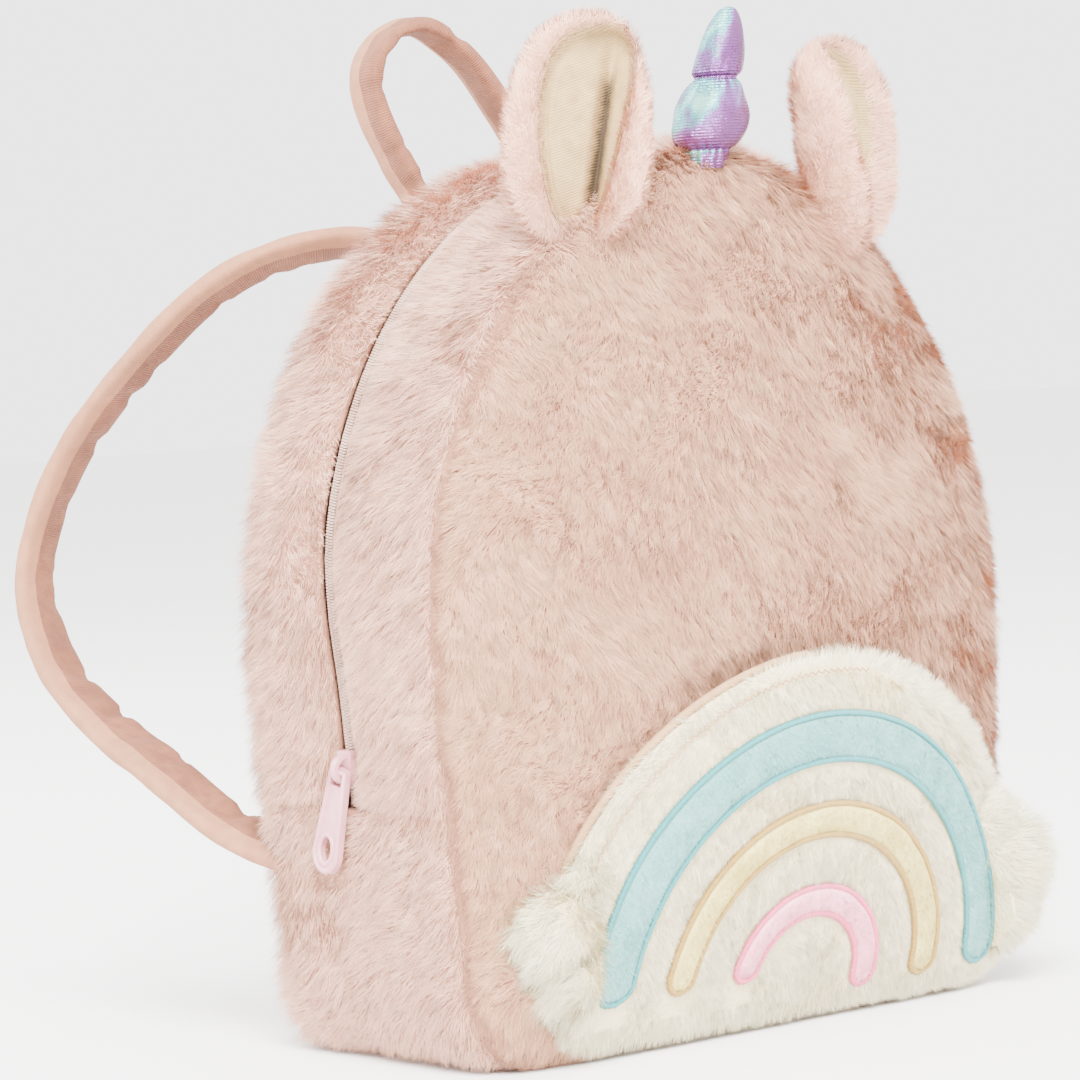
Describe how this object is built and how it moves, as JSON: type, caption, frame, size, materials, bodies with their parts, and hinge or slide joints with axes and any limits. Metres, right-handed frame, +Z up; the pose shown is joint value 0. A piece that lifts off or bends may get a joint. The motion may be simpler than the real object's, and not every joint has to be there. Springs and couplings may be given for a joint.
{
  "type": "kids animal backpack",
  "caption": "Small plush unicorn backpack with folded ears, a stuffed horn, a cloud pocket with a rainbow, a zip round the sides, padded straps and a grab handle.",
  "frame": {"origin": "middle of the flat base under the bag", "axes": "+Z up, the front with the pocket faces -Y, +X to the right of someone who looks at the front"},
  "size_m": [0.266, 0.2525, 0.3196],
  "materials": {
    "pink_plush": "long soft pile",
    "pale_plush": "long soft pile",
    "cream_plush": "soft pile",
    "ear_velvet": "fine velvet",
    "pink_velvet": "ribbed velvet",
    "tape_cloth": "woven",
    "blue_plush": "short pile",
    "yellow_plush": "short pile",
    "rose_plush": "short pile",
    "pink_plastic": "satin",
    "horn_cloth": "metallic knit"
  },
  "bodies": {
    "bag": {"front_panel": "pink_plush", "back_panel": "pink_plush", "zip_gusset_front": "pale_plush", "zip_gusset_back": "pale_plush", "bottom_gusset": "pale_plush", "zip_tape": "tape_cloth", "zip_slider": "pink_plastic", "ear_left": "pink_plush", "ear_lining_left": "ear_velvet", "ear_right": "pink_plush", "ear_lining_right": "ear_velvet", "horn": "horn_cloth", "pocket": "cream_plush", "band_blue": "blue_plush", "band_yellow": "yellow_plush", "band_pink": "rose_plush", "cloud_puff_left": "cream_plush", "cloud_puff_right": "cream_plush", "strap_left": "pink_velvet", "strap_right": "pink_velvet", "grab_handle": "pink_velvet"},
    "pull": {"zip_pull": "pink_plastic"}
  },
  "joints": [
    {"name": "pull_hinge", "type": "hinge", "parent": "bag", "child": "pull", "pos_m": [-0.11395, 0, 0.08976], "axis": [-0.014, 0.9703, 0.2415], "range_deg": [0, 155]}
  ]
}
